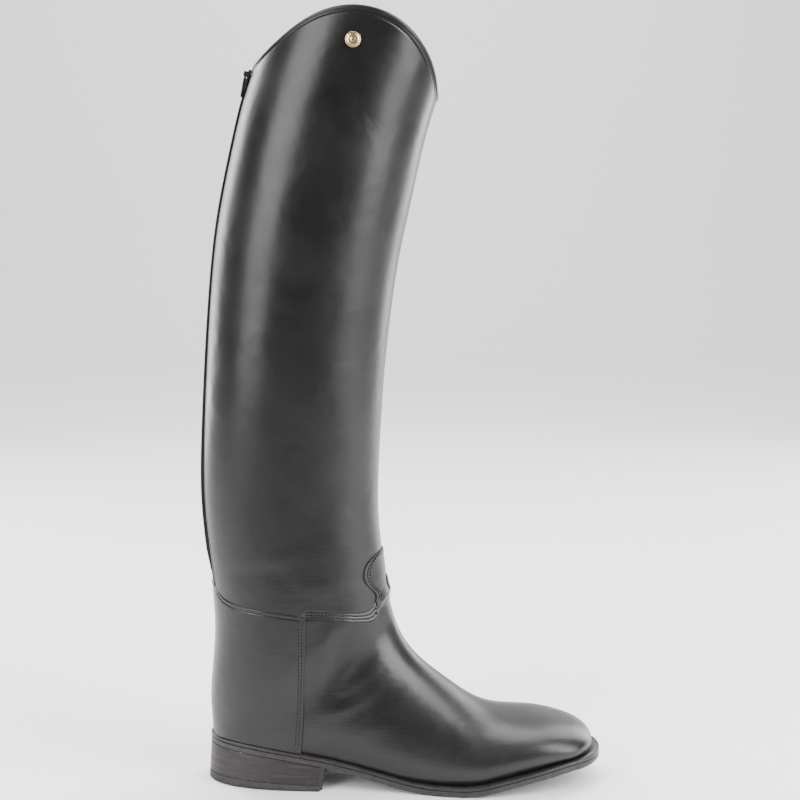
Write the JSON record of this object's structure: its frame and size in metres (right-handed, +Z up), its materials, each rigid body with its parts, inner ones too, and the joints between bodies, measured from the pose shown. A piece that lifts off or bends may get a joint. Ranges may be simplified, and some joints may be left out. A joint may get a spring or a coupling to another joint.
{
  "type": "dress riding boot",
  "caption": "Tall black leather dress riding boot with an arched outer collar, a back zip, a welted sole and a stacked heel.",
  "frame": {"origin": "middle of the heel's flat ground face, on the floor", "axes": "+X towards the toe, +Y towards the inner side of the foot, +Z up along the shaft"},
  "size_m": [0.2878, 0.1141, 0.5452],
  "materials": {
    "upper": "polished",
    "counter": "polished",
    "vamp_tongue": "polished",
    "ankle_tab": "satin",
    "collar_binding": "satin",
    "back_strip": "polished",
    "zip_tape": "matt",
    "zip_chain": "satin",
    "zip_end_stop": "satin",
    "zip_slider": "satin",
    "zip_pull": "satin",
    "collar_stud": "polished",
    "welt": "satin",
    "outsole": "satin",
    "heel": "satin",
    "insole": "matt"
  },
  "bodies": {
    "boot": {"upper": "upper", "counter": "counter", "vamp_tongue": "vamp_tongue", "ankle_tab": "ankle_tab", "collar_binding": "collar_binding", "back_strip": "back_strip", "zip_tape": "zip_tape", "zip_chain": "zip_chain", "zip_end_stop": "zip_end_stop", "zip_slider": "zip_slider", "collar_stud": "collar_stud", "welt": "welt", "outsole": "outsole", "heel": "heel", "insole": "insole"},
    "pull": {"zip_pull": "zip_pull"}
  },
  "joints": [
    {"name": "pull_hinge", "type": "hinge", "parent": "boot", "child": "pull", "pos_m": [-0.00945, -0.0075, 0.50324], "axis": [0, 1, 0], "range_deg": [0, 165]}
  ]
}
